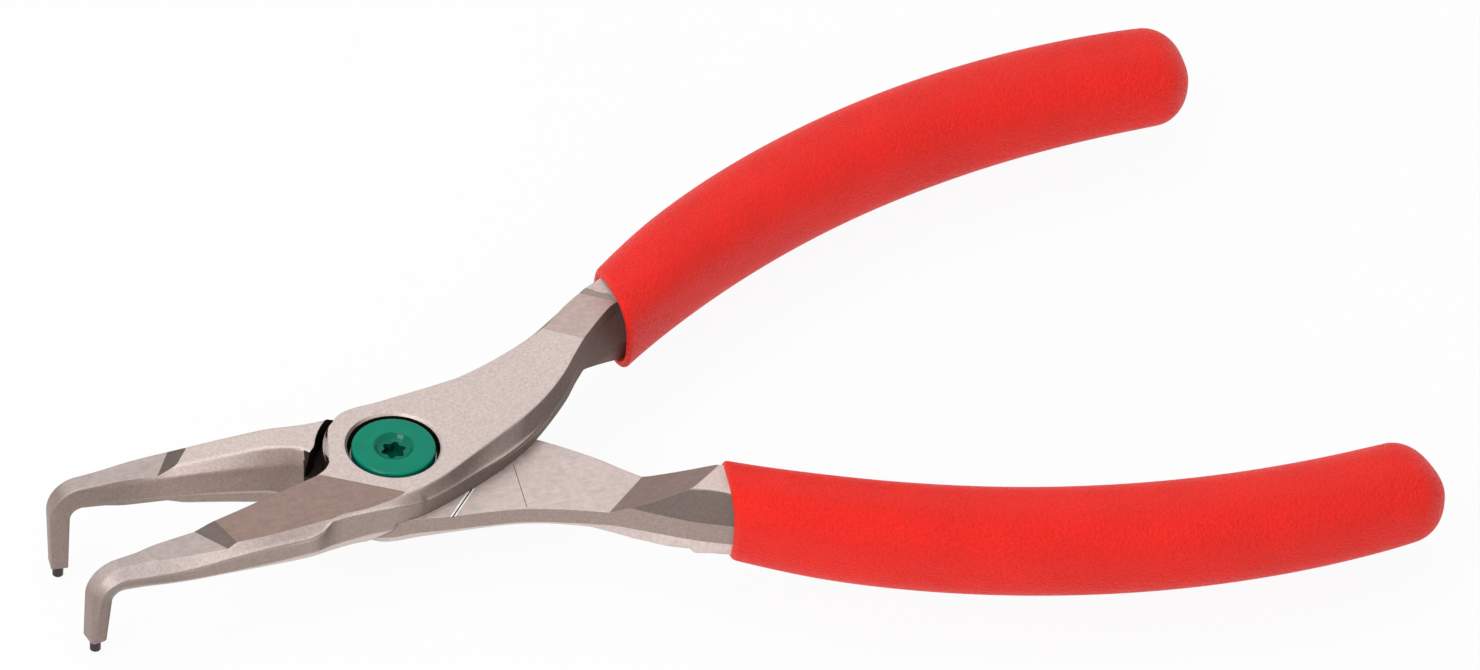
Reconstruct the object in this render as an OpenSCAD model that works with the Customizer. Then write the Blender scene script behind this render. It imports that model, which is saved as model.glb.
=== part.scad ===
// Bent-tip pliers for internal retaining rings.
// Two drop-forged levers cross at a lap joint, so squeezing the handles closes the tips.
// Frame: Z is the pivot axis with the screw head up, the handles point along +X and the
// bent tips point down. The origin is on the pivot axis, in the flat back of the joint.
// The part is drawn at rest, with the return spring holding both levers open.

/* [Opening] */
// Angle of each lever away from the closed line, in degrees
open_angle = 8; // [4:0.5:9]
// Running gap between the two lap faces
lap_gap = 0.06; // [0.02:0.02:0.2]

/* [Joint] */
// Thickness of one lever at the lap joint
plate_t = 4.2; // [3.9:0.1:5]
// Half width of the joint across its forged flange
joint_half = 10; // [9.5:0.1:11]
// Pivot axis to the root of the jaw
jaw_root = 11.2; // [10.9:0.1:11.6]
// Radius of the rounded plate end about the pivot axis
plate_r = 9.5; // [9.3:0.1:9.6]
// Clearance between a plate end and the shoulder of the other lever
shoulder_gap = 0.4; // [0.3:0.1:0.6]
// Rounding of the shoulder's corner beside the jaw
shoulder_r = 3; // [2.4:0.1:3.2]
// Pivot axis to the straight groove across each lap face
groove_reach = 10.2; // [9.9:0.1:12]
// Depth of the groove
groove_depth = 0.2; // [0.1:0.05:0.3]
// Width of the groove
groove_w = 0.4; // [0.2:0.1:0.8]

/* [Jaws] */
// Pivot axis to the middle of the bent tip legs
jaw_reach = 42.1; // [39:0.5:46]
// Centreline radius of the bend
bend_r = 2.9; // [2.6:0.1:3.4]
// Drop of the legs below the lap faces
leg_drop = 10.2; // [8:0.1:13]
// Length of a leg's end section along the jaw
leg_end_l = 2.2; // [1.9:0.1:2.4]
// Width of a leg's end section across the jaw
leg_end_w = 2.6; // [2.2:0.1:3]
// Gap left between each leg's inner face and the closed line
tip_gap = 0.15; // [0.05:0.05:0.5]
// Slope of the ground face from the joint to the jaw, in degrees
jaw_slope = 9; // [7:0.5:11]
// Depth left on the thinned front of the jaw, above and below the lap plane
thin_half = 1.7; // [1.6:0.05:1.9]

/* [Tip pins] */
// Diameter of the tip pins
pin_d = 1.4; // [1.2:0.1:1.6]
// Length of a tip pin that stands out of its leg
pin_out = 2.1; // [1:0.1:2.5]
// Length of a tip pin's shank inside its leg
pin_in = 4; // [2:0.5:5]
// Diameter of a tip pin's shank
shank_d = 1; // [0.8:0.1:1.1]
// Chamfer at the end of a tip pin
pin_chamfer = 0.15; // [0.05:0.05:0.3]

/* [Handles] */
// Pivot axis to the plane where the grips begin
neck_reach = 40; // [38:0.5:42]
// Pivot axis to the end of the grips
grip_end_x = 128.6; // [110:1:140]
// Distance of the handle bow's crest from the pivot along X
crest_x = 97.2; // [90:1:104]
// Height of the handle bow's crest above the closed line
crest_y = 28.3; // [26:0.5:30]
// Radius of the bowed handle centreline
bow_r = 125; // [120:1:140]
// Half width of the steel handle inside the grip
core_half_w = 4.1; // [3.6:0.1:4.4]
// Half height of the steel handle inside the grip
core_half_h = 4.6; // [4.2:0.1:4.8]
// Run of the lap ramp along the neck
ramp_run = 8.5; // [7:0.5:10]
// Pivot axis to the start of the lap ramp
ramp_start = 26.7; // [25:0.1:28]

/* [Grips] */
// Half width of a grip at its fullest
grip_half_w = 6.5; // [5.8:0.1:7.2]
// Half height of a grip at its fullest
grip_half_h = 6.3; // [5.8:0.1:7]
// Radius of the rounded grip end
grip_end_r = 5; // [3:0.5:7]
// Solid vinyl beyond the end of the steel handle
grip_end_wall = 5; // [4:0.5:8]
// Rounding of the lip at the mouth of a grip
lip_r = 0.7; // [0.3:0.1:0.9]
// Widening of the bore at the mouth
mouth_flare = 0.2; // [0:0.05:0.2]
// Run over which the grip turns from its slanting mouth to square sections
lean_run = 16; // [14:1:20]
// Lean of the mouth's outer side away from the pivot, in degrees
mouth_lean = 4; // [0:1:8]
// Clearance between the steel handle and the grip
grip_clear = 0.08; // [0.08:0.01:0.1]

/* [Pivot screw] */
// Diameter of the screw head
head_d = 10.6; // [10:0.1:11]
// Thickness of the screw head
head_t = 1.6; // [1.4:0.1:1.8]
// Depth of the head's top below the plate face
head_sunk = 0.12; // [0.05:0.01:0.2]
// Diameter of the counterbore round the head
counterbore_d = 11.7; // [11.4:0.1:12.4]
// Diameter of the shoulder that the upper lever turns on
shoulder_d = 7; // [6.4:0.1:7.4]
// Radial running clearance on the shoulder
shoulder_clear = 0.03; // [0.01:0.01:0.06]
// Thread diameter below the shoulder
thread_d = 5; // [4.5:0.1:5.4]
// Clearance between the thread and the nut
thread_clear = 0.05; // [0.02:0.01:0.1]
// Diameter across the lobes of the drive recess
drive_d = 3.2; // [2.9:0.1:3.3]
// Depth of the drive recess
drive_depth = 1.3; // [0.8:0.1:1.5]
// Diameter of the dished mouth of the drive recess
dish_d = 4.9; // [4.7:0.1:5.2]
// Diameter at the floor of the dish
dish_floor_d = 3.6; // [3.5:0.1:4]
// Depth of the dished mouth
dish_depth = 0.6; // [0.3:0.1:0.6]
// Rounding of the head's edge
head_round = 0.35; // [0.2:0.05:0.5]
// Thickness of the thrust washer
washer_t = 0.5; // [0.4:0.05:0.6]
// Radial clearance of the thrust washer in the counterbore
washer_clear = 0.4; // [0.2:0.05:0.5]

/* [Pivot nut] */
// Width across the flats of the recessed nut
nut_flats = 8; // [7.6:0.1:8.6]
// Thickness of the recessed nut
nut_t = 1.8; // [1.5:0.1:2]
// Clearance round the nut in its pocket
nut_clear = 0.08; // [0.04:0.02:0.2]

/* [Return spring] */
// Wire diameter
wire_d = 0.7; // [0.5:0.05:0.7]
// Mean radius of the coil
coil_r = 5.6; // [5.5:0.05:5.7]
// Number of turns
coil_turns = 1.6; // [1.2:0.1:1.7]
// Depth of the spring pocket in each lap face
pocket_depth = 1; // [1:0.05:1.1]
// Radial room on each side of the wire
pocket_room = 0.45; // [0.3:0.05:0.5]
// Length of the spring's turned-in ends inside the levers
tang_in = 0.5; // [0.3:0.1:0.6]
// Radial clearance round the turned-in ends
tang_clear = 0.08; // [0.04:0.02:0.12]

/* [Hidden] */

$fn = 64;
steel = [0.78, 0.73, 0.70];
// Overrun of every cut
cut = 1;
// Lap faces and back of the joint, measured from the joint's back
lower_lap_z = plate_t;
upper_lap_z = plate_t + lap_gap;
jaw_run = jaw_reach - bend_r;
// Share of the plate end that is a true arc
round_share = 0.42;
// How fast the neck's spine leaves the pivot line
spine_share = 1.6;

// Outline of the forging on the tip side and the inner side, at the outer face, the
// upper and the lower edge of the flange, and the inner face, as shares of joint_half.
// The first column is the place: -2 at the bend, -1 at the plate end, 0 at the pivot.
jaw_lo_shares = [
    [-2, -0.3, -0.45, -0.43, -0.4], [-1.85, -0.36, -0.56, -0.54, -0.47],
    [-1.71, -0.39, -0.63, -0.61, -0.53], [-1.53, -0.47, -0.68, -0.66, -0.58],
    [-1.32, -0.62, -0.75, -0.73, -0.64], [-1.14, -0.68, -0.84, -0.78, -0.66],
    [-1.03, -0.72, -0.82, -0.78, -0.65], [-0.71, -0.8, -0.9, -0.84, -0.66],
    [-0.36, -0.86, -0.95, -0.89, -0.76], [-0.09, -0.85, -0.94, -0.9, -0.86],
    [0, -0.84, -0.92, -0.9, -0.9]];
jaw_hi_shares = [
    [-2, -0.1, -0.1, -0.12, -0.14], [-1.75, -0.11, -0.11, -0.16, -0.24],
    [-1.53, -0.12, -0.11, -0.15, -0.3], [-1.17, -0.1, -0.06, -0.15, -0.32],
    [-1, -0.08, -0.04, -0.1, -0.2], [-0.84, 0.09, 0.1, 0.1, 0.1],
    [-0.53, 0.63, 0.74, 0.74, 0.74], [-0.42, 0.73, 0.83, 0.83, 0.83],
    [-0.36, 0.79, 0.86, 0.86, 0.86], [-0.25, 0.84, 0.91, 0.91, 0.91],
    [-0.13, 0.85, 0.95, 0.95, 0.95], [0, 0.84, 0.96, 0.96, 0.96]];
// The same outline from the pivot to the mouth of the grip at 1, off the neck's spine
neck_lo_shares = [
    [0, -0.84, -0.92, -0.9, -0.9], [0.09, -0.78, -0.88, -0.86, -0.86],
    [0.21, -0.68, -0.83, -0.83, -0.83], [0.34, -0.61, -0.82, -0.78, -0.75],
    [0.45, -0.58, -0.77, -0.71, -0.68], [0.55, -0.53, -0.66, -0.6, -0.57],
    [0.65, -0.42, -0.5, -0.48, -0.44], [0.72, -0.3, -0.35, -0.36, -0.32],
    [0.8, -0.18, -0.22, -0.28, -0.23], [0.88, -0.09, -0.15, -0.31, -0.25],
    [0.95, -0.06, -0.14, -0.37, -0.3], [1, -0.12, -0.22, -0.43, -0.34]];
neck_hi_shares = [
    [0, 0.84, 0.96, 0.96, 0.96], [0.13, 0.75, 0.91, 0.91, 0.91],
    [0.25, 0.63, 0.81, 0.81, 0.81], [0.35, 0.52, 0.71, 0.71, 0.71],
    [0.45, 0.44, 0.64, 0.64, 0.64], [0.58, 0.39, 0.57, 0.57, 0.5],
    [0.65, 0.38, 0.54, 0.54, 0.44], [0.72, 0.38, 0.54, 0.54, 0.4],
    [0.8, 0.42, 0.54, 0.54, 0.33], [0.88, 0.42, 0.52, 0.52, 0.25],
    [0.95, 0.38, 0.47, 0.47, 0.22], [1, 0.33, 0.42, 0.44, 0.24]];
// Heights of the four levels as shares of plate_t, measured from the lap face
level_shares = [
    [-2, 0.32, 0.12, -0.19, -0.36], [-1.9, 0.34, 0.14, -0.21, -0.38],
    [-1.75, 0.5, 0.16, -0.28, -0.48], [-1.56, 0.6, 0.21, -0.38, -0.57],
    [-1.32, 0.79, 0.26, -0.4, -0.69], [-1.17, 0.95, 0.32, -0.4, -0.8],
    [-1.1, 1, 0.45, -0.4, -0.84], [-1.06, 1, 0.66, -0.36, -0.85],
    [-0.7, 1, 0.76, -0.26, -0.9], [-0.4, 1, 0.72, -0.26, -0.95],
    [0, 1, 0.52, -0.26, -1], [0.7, 1, 0.5, -0.26, -1], [0.86, 1, 0.5, -0.24, -1],
    [0.93, 0.81, 0.5, -0.24, -1.07], [1, 0.97, 0.5, -0.24, -1.12]];
// Stations along the forging
plate_end_u = -plate_r / jaw_root;
jaw_stations = [for (k = [0:16]) -2 + k / 17 * (plate_end_u + 2)];
round_stations = [for (a = [6:9:60]) plate_end_u * cos(a)];
joint_stations = [for (k = [0:5]) plate_end_u * round_share * (1 - k / 6)];
neck_stations = [for (k = [0:22]) k / 22];

// Value of column c of table t at place u, on a cubic through the rows
function row_at(u, t, i = 0) = i >= len(t) - 2 || u < t[i + 1][0] ? i : row_at(u, t, i + 1);
function rise(t, i, c) = let (a = max(i - 1, 0), b = min(i + 1, len(t) - 1))
    (t[b][c] - t[a][c]) / (t[b][0] - t[a][0]);
function cubic(u, t, c) = let (i = row_at(u, t), w = t[i + 1][0] - t[i][0], s = (u - t[i][0]) / w)
    t[i][c] * (1 + 2 * s) * pow(1 - s, 2) + t[i + 1][c] * s * s * (3 - 2 * s)
    + rise(t, i, c) * w * s * pow(1 - s, 2) - rise(t, i + 1, c) * w * s * s * (1 - s);
function column(t, c) = [for (row = t) [row[0], row[c]]];

// The place u as a distance along X, and the neck's spine
function place_x(u) = u < -1 ? -jaw_root + (u + 1) * (jaw_run - jaw_root)
    : u < 0 ? u * jaw_root : u * neck_reach;
function bow_y(x) = crest_y - bow_r + sqrt(bow_r * bow_r - pow(x - crest_x, 2));
mouth_y = bow_y(neck_reach);
function spine_y(u) = u > 0 ? mouth_y * pow(u, spine_share) : 0;

function lo_at(u, c) = u < 0 ? joint_half * cubic(u, jaw_lo_shares, c)
    : spine_y(u) + joint_half * cubic(u, neck_lo_shares, c);
function hi_at(u, c) = u > plate_end_u && u < plate_end_u * round_share && c > 1
        ? plate_r * sqrt(1 - pow(u / plate_end_u, 2))
    : u < 0 ? joint_half * cubic(u, jaw_hi_shares, c)
    : spine_y(u) + joint_half * cubic(u, neck_hi_shares, c);
function level_at(u, c) = plate_t * lookup(u, column(level_shares, c));

// One ring of the forging at place u, round the section from the outer face
function forging_ring(u) = [
    for (c = [1:4]) [place_x(u), lo_at(u, c), level_at(u, c)],
    for (c = [4:-1:1]) [place_x(u), hi_at(u, c), level_at(u, c)]];

// Rings of the bend and the leg, from the leg's end up. side is 1 where the leg drops off
// the inner face and -1 where it drops off the outer face. turn is the angle round the
// bend, run the length of straight leg below it, and mix is 0 at the bend and 1 at the end.
bend_mid = (level_at(-2, 1) + level_at(-2, 4)) / 2;
function leg_l(side) = leg_drop - bend_r + side * bend_mid;
function leg_mix(side, turn, run) = (bend_r * turn * PI / 180 + run) / (bend_r * PI / 2 + leg_l(side));
leg_level_shares = [1, 0.6, -0.6, -1];
leg_edge_shares = [0.9, 1, 1, 0.9];
function leg_point(side, turn, run, c, lateral) = let (
        m = leg_mix(side, turn, run),
        up = (level_at(-2, c) - bend_mid) * (1 - m) + leg_level_shares[c - 1] * leg_end_l / 2 * m)
    [-jaw_run - bend_r * sin(turn) - side * up * sin(turn), lateral,
     bend_mid - side * (bend_r * (1 - cos(turn)) + run) + up * cos(turn)];
function leg_ring(side, turn, run) = let (m = leg_mix(side, turn, run)) [
    for (c = [1:4]) leg_point(side, turn, run, c,
        lo_at(-2, c) * (1 - m) - (tip_gap + leg_end_w * leg_edge_shares[c - 1]) * m),
    for (c = [4:-1:1]) leg_point(side, turn, run, c, hi_at(-2, c) * (1 - m) - tip_gap * m)];
bend_steps = 6;
leg_steps = 3;
function leg_rings(side) = [
    for (k = [0:leg_steps - 1]) leg_ring(side, 90, leg_l(side) * (1 - k / leg_steps)),
    for (k = [0:bend_steps - 1]) leg_ring(side, 90 * (1 - k / bend_steps), 0)];

// A point beside the bowed centreline: angle a from the crest, w outwards and z up
function bow_angle(x) = asin((x - crest_x) / bow_r);
function bow_point(a, w, z) =
    [crest_x + (bow_r + w) * sin(a), crest_y - bow_r + (bow_r + w) * cos(a), z];
function run_angle(l) = l / bow_r * 180 / PI;
mouth_angle = bow_angle(neck_reach);
grip_end_angle = bow_angle(grip_end_x);
core_end_angle = grip_end_angle - run_angle(grip_end_wall);

// Rounded section of the grips and of the steel in them, at angle t round it
round_power_share = 0.77;
function soft(v) = sign(v) * pow(abs(v), round_power_share);
function section_point(a, w, h, t) = bow_point(a, w * soft(cos(t)), h * soft(sin(t)));
core_corners = [120, 150, 210, 240];
function core_ring(a) = [
    for (t = core_corners) section_point(a, core_half_w, core_half_h, t),
    for (t = core_corners) section_point(a, core_half_w, core_half_h, t + 180)];
core_start_angle = mouth_angle + run_angle(grip_end_wall / 2);
core_steps = 12;
core_rings = [for (k = [0:core_steps])
    core_ring(core_start_angle + (core_end_angle - core_start_angle) * k / core_steps)];

// Solid through a row of rings with equal numbers of points
module loft(rings) {
    n = len(rings[0]);
    last = len(rings) - 1;
    polyhedron(points = [for (r = rings) each r], faces = [
        [for (j = [0:n - 1]) j],
        for (i = [0:last - 1]) for (j = [0:n - 1]) let (a = i * n + j, b = i * n + (j + 1) % n)
            each [[b, a, a + n], [b, a + n, b + n]],
        [for (j = [n - 1:-1:0]) last * n + j]]);
}

// Lap recess under the joint: round at the shoulder, with a ramp up into the neck
ramp_turn = 43;
groove_turn = 36;
recess_r = plate_r + shoulder_gap;
recess_depth = plate_t + cut;
module lap_recess() {
    translate([0, 0, -recess_depth]) cylinder(r = recess_r, h = recess_depth, $fn = 96);
    translate([0, -jaw_root, -recess_depth]) cube([plate_r, jaw_root, recess_depth]);
    shoulder_corner();
    rotate([0, 0, ramp_turn]) translate([0, neck_reach, 0]) rotate([90, 0, 0])
        linear_extrude(2 * neck_reach) polygon([[0, 0], [ramp_start, 0],
            [ramp_start + ramp_run * recess_depth / plate_t, -recess_depth], [0, -recess_depth]]);
    rotate([0, 0, groove_turn]) translate([groove_reach, -neck_reach, -cut])
        cube([groove_w, 2 * neck_reach, cut + groove_depth]);
}

// Room beside the shoulder: its corner runs round into the jaw's inner side
corner_share = 0.05;
corner_reach = recess_r + shoulder_r;
corner_y = -shoulder_r - joint_half * corner_share;
corner_x = -sqrt(pow(corner_reach, 2) - pow(corner_y, 2));
module shoulder_corner() {
    tangent_y = corner_y * recess_r / corner_reach;
    difference() {
        translate([corner_x, tangent_y, -recess_depth])
            cube([-corner_x, 2 * shoulder_r, recess_depth]);
        translate([corner_x, corner_y, -recess_depth - cut])
            cylinder(r = shoulder_r, h = recess_depth + 2 * cut);
    }
}

// Ground face that falls from the joint to the jaw
slope_turn = 227.5;
slope_start_share = 0.715;
slope_run_share = 1.2;
module jaw_facet() {
    rotate([0, 0, slope_turn]) translate([jaw_root * slope_start_share, 0, plate_t])
        rotate([0, jaw_slope, 0]) translate([0, -jaw_reach, 0])
            cube([jaw_root * slope_run_share, 2 * jaw_reach, plate_t]);
}

// Ground step that thins the front of a jaw, lead nearer the tip than on the outer face
step_turn = 206.6;
step_place_shares = [-0.643, -0.36];
step_ramp = 1.8;
step_rise_share = 0.36;
step_back = 3;
thin_run = 11.5;
thin_fall_share = 0.9;
// How much nearer the tip the inner face's step lies
step_lead = 1.6;
module jaw_step(lead) {
    run = thin_run - lead;
    translate([jaw_run * step_place_shares[0] - lead, joint_half * step_place_shares[1], 0])
        rotate([0, 0, step_turn]) translate([0, jaw_root, 0]) rotate([90, 0, 0])
            linear_extrude(2 * jaw_root) polygon([
                [-step_back, thin_half + (step_ramp + step_back) * step_rise_share],
                [step_ramp, thin_half], [run, thin_half * thin_fall_share],
                [run, 2 * plate_t], [-step_back, 2 * plate_t]]);
}

// Ground face on the outer side of the neck
neck_facet_start = 27.3;
neck_facet_run = 9;
neck_facet_turn = 45;
neck_facet_fall = 5;
module neck_facet() {
    rotate([0, 0, neck_facet_turn]) translate([neck_facet_start, 0, plate_t])
        rotate([0, neck_facet_fall, 0]) translate([0, -neck_reach / 2, 0])
            cube([neck_facet_run, neck_reach, plate_t]);
}

pin_y = -tip_gap - leg_end_w / 2;

// One forging in its own frame: lap face at z = 0, handle on +Y, jaw on -Y, closed
module forging(side) {
    difference() {
        loft([each leg_rings(side), for (u = jaw_stations) forging_ring(u),
            for (u = round_stations) forging_ring(u), for (u = joint_stations) forging_ring(u),
            for (u = neck_stations) forging_ring(u), each core_rings]);
        lap_recess();
        jaw_facet();
        jaw_step(0);
        mirror([0, 0, 1]) jaw_step(step_lead);
        neck_facet();
        spring_pocket();
        translate([-jaw_reach, pin_y, side > 0 ? -leg_drop - cut : leg_drop - pin_in])
            cylinder(d = shank_d, h = pin_in + cut);
    }
}

module spring_pocket() {
    inner = coil_r - wire_d / 2 - pocket_room;
    translate([0, 0, -cut]) rotate_extrude()
        translate([inner, 0]) square([wire_d + 2 * pocket_room, pocket_depth + cut]);
}

// Where each lever's own frame lies in the part
module place_upper() translate([0, 0, upper_lap_z]) rotate([0, 0, open_angle]) children();
module place_lower() translate([0, 0, lower_lap_z]) rotate([180, 0, 0])
    rotate([0, 0, open_angle]) children();

head_top_z = upper_lap_z + plate_t - head_sunk;
washer_top_z = head_top_z - head_t;
washer_seat_z = washer_top_z - washer_t;
bore_chamfer = 0.3;
seat_clear = 0.02;
// Angle of the spring's upper end past its lower end, and of the lower end from +X
coil_angle = 360 * coil_turns;
coil_start = 30;
coil_low_z = lower_lap_z - pocket_depth + wire_d / 2 + tang_clear;
coil_high_z = upper_lap_z + pocket_depth - wire_d / 2 - tang_clear;
tang_hole_l = tang_in + tang_clear;

module upper_lever() {
    color(steel) difference() {
        place_upper() forging(1);
        translate([0, 0, upper_lap_z - cut])
            cylinder(d = shoulder_d + 2 * shoulder_clear, h = plate_t + 2 * cut);
        translate([0, 0, washer_seat_z]) cylinder(d = counterbore_d, h = plate_t);
        translate([0, 0, upper_lap_z + plate_t - bore_chamfer])
            cylinder(d1 = counterbore_d, d2 = counterbore_d + 4 * bore_chamfer,
                h = 2 * bore_chamfer);
        rotate([0, 0, coil_start + coil_angle]) translate([coil_r, 0, upper_lap_z])
            cylinder(d = wire_d + 2 * tang_clear, h = pocket_depth + tang_hole_l);
    }
}

module lower_lever() {
    color(steel) difference() {
        place_lower() forging(-1);
        translate([0, 0, -cut]) cylinder(d = shoulder_d + 2 * seat_clear, h = plate_t + 2 * cut);
        translate([0, 0, -cut]) nut_hex(nut_flats + 2 * nut_clear, nut_t + cut);
        rotate([0, 0, coil_start])
            translate([coil_r, 0, lower_lap_z - pocket_depth - tang_hole_l])
                cylinder(d = wire_d + 2 * tang_clear, h = pocket_depth + tang_hole_l);
    }
}

module nut_hex(flats, h) cylinder(d = flats / cos(30), h = h, $fn = 6);

// Grip: outside from the rounded end to the lip, then the bore back to its closed end
grip_w_shares = [[0, 0.8], [0.2, 0.9], [0.45, 0.96], [0.7, 1], [0.9, 1], [1, 0.95]];
grip_h_shares = [[0, 0.92], [0.15, 1], [0.5, 1], [0.75, 0.95], [0.9, 0.9], [1, 0.86]];
grip_points = 24;
grip_steps = 16;
round_steps = 5;
flare_l = 4;
// The rings lean at the mouth, so that it lies across the lever and not square to its bow
function lean_at(a) = tan(mouth_lean - mouth_angle)
    * max(0, 1 - (a - mouth_angle) / run_angle(lean_run));
function grip_ring(a, w, h) =
    [for (k = [0:grip_points - 1]) let (t = -360 * k / grip_points)
        section_point(a + run_angle(w * soft(cos(t)) * lean_at(a)), w, h, t)];
function grip_outer(a, inset) = let (s = (a - mouth_angle) / (grip_end_angle - mouth_angle))
    grip_ring(a, grip_half_w * cubic(s, grip_w_shares, 1) - inset,
        grip_half_h * cubic(s, grip_h_shares, 1) - inset);
function grip_bore(a, extra) =
    grip_ring(a, core_half_w + grip_clear + extra, core_half_h + grip_clear + extra);
grip_body_start = mouth_angle + run_angle(lip_r);
grip_body_end = grip_end_angle - run_angle(grip_end_r);
flare_angle = mouth_angle + run_angle(flare_l);
bore_end_angle = core_end_angle + run_angle(grip_clear);
grip_rings = [
    for (k = [0:round_steps - 1]) let (t = 90 * k / round_steps)
        grip_outer(grip_end_angle - run_angle(grip_end_r * (1 - cos(t))), grip_end_r * (1 - sin(t))),
    for (k = [0:grip_steps])
        grip_outer(grip_body_end + (grip_body_start - grip_body_end) * k / grip_steps, 0),
    for (k = [1:2]) let (t = 45 * k)
        grip_outer(grip_body_start - run_angle(lip_r * sin(t)), lip_r * (1 - cos(t))),
    grip_bore(mouth_angle, mouth_flare),
    for (k = [0:core_steps])
        grip_bore(flare_angle + (bore_end_angle - flare_angle) * k / core_steps, 0)];

module upper_grip() color([0.93, 0.15, 0.11]) place_upper() loft(grip_rings);
module lower_grip() color([0.93, 0.15, 0.11]) place_lower() loft(grip_rings);

// Tip pin in the forging's frame, with its end chamfered
module tip_pin() {
    translate([-jaw_reach, pin_y, -leg_drop - pin_out]) rotate_extrude() polygon([
        [0, 0], [pin_d / 2 - pin_chamfer, 0], [pin_d / 2, pin_chamfer],
        [pin_d / 2, pin_out], [shank_d / 2, pin_out],
        [shank_d / 2, pin_out + pin_in], [0, pin_out + pin_in]]);
}
module upper_tip_pin() color([0.33, 0.31, 0.31]) place_upper() tip_pin();
module lower_tip_pin() color([0.33, 0.31, 0.31]) place_lower() mirror([0, 0, 1]) tip_pin();

// Screw: rounded head with a six-lobed recess, shoulder, and thread core
drive_core_share = 0.74;
lobe_share = 0.17;
overlap = 0.1;
module pivot_screw() {
    color([0, 0.52, 0.41]) difference() {
        union() {
            rotate_extrude() translate([0, washer_top_z]) polygon([[0, 0], [head_d / 2, 0],
                [head_d / 2, head_t - head_round],
                for (t = [15:15:75]) [head_d / 2 - head_round * (1 - cos(t)),
                    head_t - head_round * (1 - sin(t))],
                [head_d / 2 - head_round, head_t], [0, head_t]]);
            translate([0, 0, nut_t]) cylinder(d = shoulder_d, h = washer_top_z - nut_t + overlap);
            cylinder(d = thread_d, h = nut_t + overlap);
        }
        translate([0, 0, head_top_z - dish_depth])
            cylinder(d1 = dish_floor_d, h = dish_depth + overlap,
                d2 = dish_d + (dish_d - dish_floor_d) * overlap / dish_depth);
        translate([0, 0, head_top_z - dish_depth - drive_depth]) {
            cylinder(d = drive_d * drive_core_share, h = drive_depth + overlap);
            for (k = [0:5]) rotate([0, 0, 60 * k])
                translate([drive_d * (0.5 - lobe_share), 0, 0])
                    cylinder(r = drive_d * lobe_share, h = drive_depth + overlap, $fn = 24);
        }
    }
}

module thrust_washer() {
    color([0.70, 0.68, 0.66]) translate([0, 0, washer_seat_z]) difference() {
        cylinder(d = counterbore_d - 2 * washer_clear, h = washer_t);
        translate([0, 0, -cut]) cylinder(d = shoulder_d + 2 * seat_clear, h = washer_t + 2 * cut);
    }
}

module pivot_nut() {
    color([0.62, 0.60, 0.58]) difference() {
        nut_hex(nut_flats, nut_t - seat_clear);
        translate([0, 0, -cut]) cylinder(d = thread_d + 2 * thread_clear, h = nut_t + 2 * cut);
    }
}

// Spring: coil of round wire with an end turned into each lever
wire_points = 8;
turn_steps = 28;
module return_spring() {
    steps = round(coil_turns * turn_steps);
    color([0.45, 0.43, 0.42]) rotate([0, 0, coil_start]) {
        loft([for (i = [0:steps]) let (a = coil_angle * i / steps,
                z = coil_low_z + (coil_high_z - coil_low_z) * i / steps)
            [for (k = [0:wire_points - 1]) let (t = -360 * k / wire_points,
                    r = coil_r + wire_d / 2 * cos(t))
                [r * cos(a), r * sin(a), z + wire_d / 2 * sin(t)]]]);
        translate([coil_r, 0, lower_lap_z - pocket_depth - tang_in])
            cylinder(d = wire_d, h = coil_low_z - lower_lap_z + pocket_depth + tang_in, $fn = 24);
        rotate([0, 0, coil_angle]) translate([coil_r, 0, coil_high_z])
            cylinder(d = wire_d, h = upper_lap_z + pocket_depth + tang_in - coil_high_z, $fn = 24);
    }
}

upper_lever();
lower_lever();
upper_grip();
lower_grip();
upper_tip_pin();
lower_tip_pin();
pivot_screw();
thrust_washer();
pivot_nut();
return_spring();
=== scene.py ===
"""Bent-tip pliers for internal retaining rings, lying on a white table."""
import math

import bmesh
import bpy
from mathutils import Matrix, Vector


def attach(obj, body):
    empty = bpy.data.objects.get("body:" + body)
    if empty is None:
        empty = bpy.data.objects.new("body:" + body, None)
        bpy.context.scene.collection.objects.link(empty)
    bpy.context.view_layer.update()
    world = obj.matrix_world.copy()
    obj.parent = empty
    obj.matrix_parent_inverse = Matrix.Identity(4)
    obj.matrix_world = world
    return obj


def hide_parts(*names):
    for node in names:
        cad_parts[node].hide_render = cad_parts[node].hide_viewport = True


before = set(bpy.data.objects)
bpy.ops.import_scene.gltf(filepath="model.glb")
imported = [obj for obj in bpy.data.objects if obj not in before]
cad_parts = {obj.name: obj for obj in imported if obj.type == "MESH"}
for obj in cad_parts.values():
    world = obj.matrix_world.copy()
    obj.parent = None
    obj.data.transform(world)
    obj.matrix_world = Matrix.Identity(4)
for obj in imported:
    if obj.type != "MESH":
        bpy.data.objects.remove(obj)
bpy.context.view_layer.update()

MM = 0.001

# Sizes in millimetres and degrees. Nearly all are the solids' own. The groove's width, the
# bowl in the screw's head, and PLATE_LEFT and the neck's last dip below are finer here.
OPEN_ANGLE = 8
PLATE_T, LAP_GAP = 4.2, 0.06
JOINT_HALF, JAW_ROOT, PLATE_R, SHOULDER_GAP, SHOULDER_R = 10, 11.2, 9.5, 0.4, 3
GROOVE_REACH, GROOVE_TURN, GROOVE_DEPTH, GROOVE_W = 10.2, 36, 0.2, 0.16
JAW_REACH, BEND_R, LEG_DROP = 42.1, 2.9, 10.2
LEG_END_L, LEG_END_W, TIP_GAP = 2.2, 2.6, 0.15
JAW_SLOPE, THIN_HALF = 9, 1.7
NECK_REACH, GRIP_END_X = 40, 128.6
CREST_X, CREST_Y, BOW_R = 97.2, 28.3, 125
CORE_HALF_W, CORE_HALF_H = 4.1, 4.6
RAMP_RUN, RAMP_START, RAMP_TURN = 8.5, 26.7, 43
GRIP_HALF_W, GRIP_HALF_H = 6.5, 6.3
GRIP_END_R, GRIP_END_WALL = 5, 5
LIP_R, LEAN_RUN, MOUTH_FLARE, GRIP_CLEAR = 0.7, 16, 0.2, 0.08
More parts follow.
